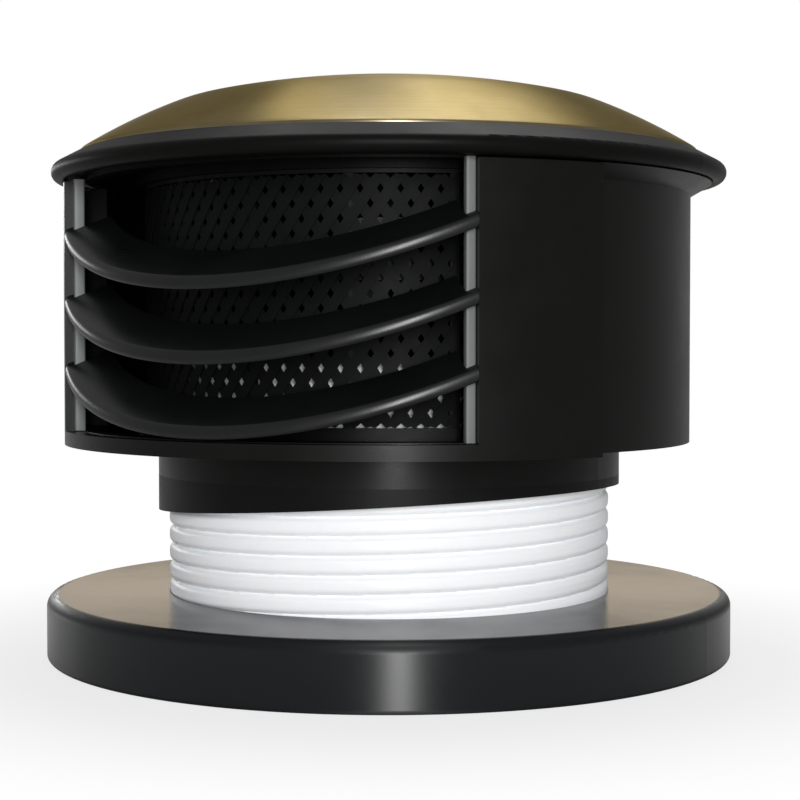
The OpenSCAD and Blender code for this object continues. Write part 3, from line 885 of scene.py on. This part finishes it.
SOFT_BOXES = (
    SoftBox("top_box", turn=159.0, away=0.30, above=0.72, width=0.26, height=0.45, watts=1.5),
    SoftBox("top_strip", turn=-161.0, away=0.30, above=0.72, width=0.05, height=0.40, watts=0.5),
    SoftBox("front_box", turn=3.0, away=0.95, above=0.21, width=0.10, height=0.40, watts=7.0),
    SoftBox("rim_box", turn=-140.0, away=1.0, above=0.20, width=0.75, height=0.10, watts=1.0),
)


@dataclass
class Studio:
    """Pale floor, white backdrop that mirrors as a faintly warm card, soft lamps, dim room, camera."""

    soft_boxes: tuple[SoftBox, ...] = SOFT_BOXES
    lamp_aim: float = 0.07
    camera_turn: float = 31.0
    camera_away: float = 0.411
    camera_height: float = 0.070
    view_width: float = 0.1827
    aim_right: float = 0.0025
    aim_height: float = 0.0566
    sensor_mm: float = 36.0
    clip_start: float = 0.01
    floor_r: float = 1.6
    floor_columns: int = 64
    floor_hex: str = "#d2d2d2"
    floor_rough: float = 0.9
    fade_from: float = 0.077
    fade_to: float = 0.16
    near_share: float = 0.75
    backdrop_away: float = 1.1
    backdrop_w: float = 0.60
    backdrop_h: float = 0.4
    card_hex: str = "#f4e4ce"
    room_level: float = 0.38

    def towards_camera(self, turn: float, away: float, height: float) -> Vector:
        """Point at an angle from the camera's direction, to its right, by distance and height."""
        angle = math.radians(self.camera_turn + turn)
        return Vector((away * math.sin(angle), -away * math.cos(angle), height))

    def camera(self) -> None:
        """Set the camera level with the cowl, as far off as the photograph's perspective asks."""
        lens = bpy.data.cameras.new("camera")
        lens.sensor_width = self.sensor_mm
        lens.lens = self.sensor_mm * self.camera_away / self.view_width
        lens.clip_start = self.clip_start
        eye = bpy.data.objects.new("camera", lens)
        eye.location = self.towards_camera(0.0, self.camera_away, self.camera_height)
        aim = self.towards_camera(90.0, self.aim_right, self.aim_height)
        eye.rotation_euler = (aim - eye.location).to_track_quat("-Z", "Y").to_euler()
        bpy.context.scene.collection.objects.link(eye)
        bpy.context.scene.camera = eye

    def lamp(self, box: SoftBox) -> None:
        """Hang one soft box, turned to the middle of the vent."""
        light = bpy.data.lights.new(box.name, "AREA")
        light.shape = "RECTANGLE"
        light.size = box.width
        light.size_y = box.height
        light.energy = box.watts
        at = self.towards_camera(box.turn, box.away, box.above)
        aim = Vector((0.0, 0.0, self.lamp_aim))
        hung = bpy.data.objects.new(box.name, light)
        hung.location = at
        hung.rotation_euler = (aim - at).to_track_quat("-Z", "Y").to_euler()
        bpy.context.scene.collection.objects.link(hung)

    def pale(self, name: str, fading: bool) -> bpy.types.Material:
        """Pale stage surface that looks white to the camera.

        Args:
            name: the material's name.
            fading: true for the floor, which keeps its shadow near the vent and stays plain in
                reflections, and false for the backdrop, which shows in them as a faintly warm card.

        Returns:
            The material.
        """
        made = bpy.data.materials.new(name)
        made.use_nodes = True
        made.cycles.emission_sampling = "NONE"
        tree = made.node_tree
        shader = tree.nodes["Principled BSDF"]
        shader.inputs["Base Color"].default_value = linear(self.floor_hex)
        shader.inputs["Roughness"].default_value = self.floor_rough
        shader.inputs["Specular IOR Level"].default_value = 0.0
        rays = add_node(tree, "ShaderNodeLightPath").outputs
        if fading:
            place = add_node(tree, "ShaderNodeTexCoord").outputs["Object"]
            away = add_node(tree, "ShaderNodeVectorMath", {0: place}, operation="LENGTH")
            far = add_node(tree, "ShaderNodeMapRange", {"Value": away.outputs["Value"]},
                           {"From Min": self.fade_from, "From Max": self.fade_to,
                            "To Min": self.near_share}, interpolation_type="SMOOTHSTEP")
            seen = add_node(tree, "ShaderNodeMath", {0: rays["Is Camera Ray"], 1: far.outputs["Result"]},
                            operation="MULTIPLY")
        else:
            seen = add_node(tree, "ShaderNodeMath", {0: rays["Is Camera Ray"], 1: rays["Is Glossy Ray"]},
                            operation="MAXIMUM")
        tint = add_node(tree, "ShaderNodeMix", {"Factor": rays["Is Glossy Ray"]},
                        {MIX_A: WHITE, MIX_B: linear(self.card_hex)}, data_type="RGBA")
        white = add_node(tree, "ShaderNodeEmission", {"Color": tint.outputs[MIX_OUT]}, {"Strength": 1.0})
        both = add_node(tree, "ShaderNodeMixShader",
                        {0: seen.outputs[0], 1: shader.outputs[0], 2: white.outputs[0]})
        tree.links.new(both.outputs[0], tree.nodes["Material Output"].inputs["Surface"])
        return made

    def card(self, name: str, corners: Array, material: bpy.types.Material) -> None:
        """Add one flat stage surface from its outline."""
        mesh = bpy.data.meshes.new(name)
        mesh.from_pydata(corners.tolist(), [], [list(range(len(corners)))])
        mesh.materials.append(material)
        made = bpy.data.objects.new(name, mesh)
        bpy.context.scene.collection.objects.link(made)

    def build(self) -> None:
        """Set the stage, the lamps, the room's own light and the camera."""
        bpy.context.scene.view_settings.view_transform = "Standard"
        turn = np.linspace(0.0, 2 * np.pi, self.floor_columns, endpoint=False)
        floor = self.floor_r * np.stack([np.cos(turn), np.sin(turn), np.zeros_like(turn)], axis=-1)
        self.card("floor", floor, self.pale("pale_floor", fading=True))
        behind = self.towards_camera(180.0, self.backdrop_away, 0.0)
        side = self.towards_camera(90.0, self.backdrop_w / 2, 0.0)
        up = Vector((0.0, 0.0, self.backdrop_h))
        wall = np.array([behind - side, behind + side, behind + side + up, behind - side + up])
        self.card("backdrop", wall, self.pale("white_backdrop", fading=False))
        room = bpy.data.worlds.new("room")
        room.use_nodes = True
        glow = room.node_tree.nodes["Background"]
        glow.inputs["Color"].default_value = WHITE
        rays = add_node(room.node_tree, "ShaderNodeLightPath").outputs
        level = add_node(room.node_tree, "ShaderNodeMapRange", {"Value": rays["Is Camera Ray"]},
                         {"To Min": self.room_level})
        room.node_tree.links.new(level.outputs["Result"], glow.inputs["Strength"])
        bpy.context.scene.world = room
        for box in self.soft_boxes:
            self.lamp(box)
        self.camera()


def main() -> None:
    """Build the vent's sub-assemblies and the studio."""
    logging.basicConfig(level=logging.INFO, format="%(message)s")
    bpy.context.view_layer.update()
    for part in (DeckBase(), Closure(), Cowl(Louvre(), Screen()), DomeCap(), Studio()):
        part.build()


if __name__ == "__main__":
    main()
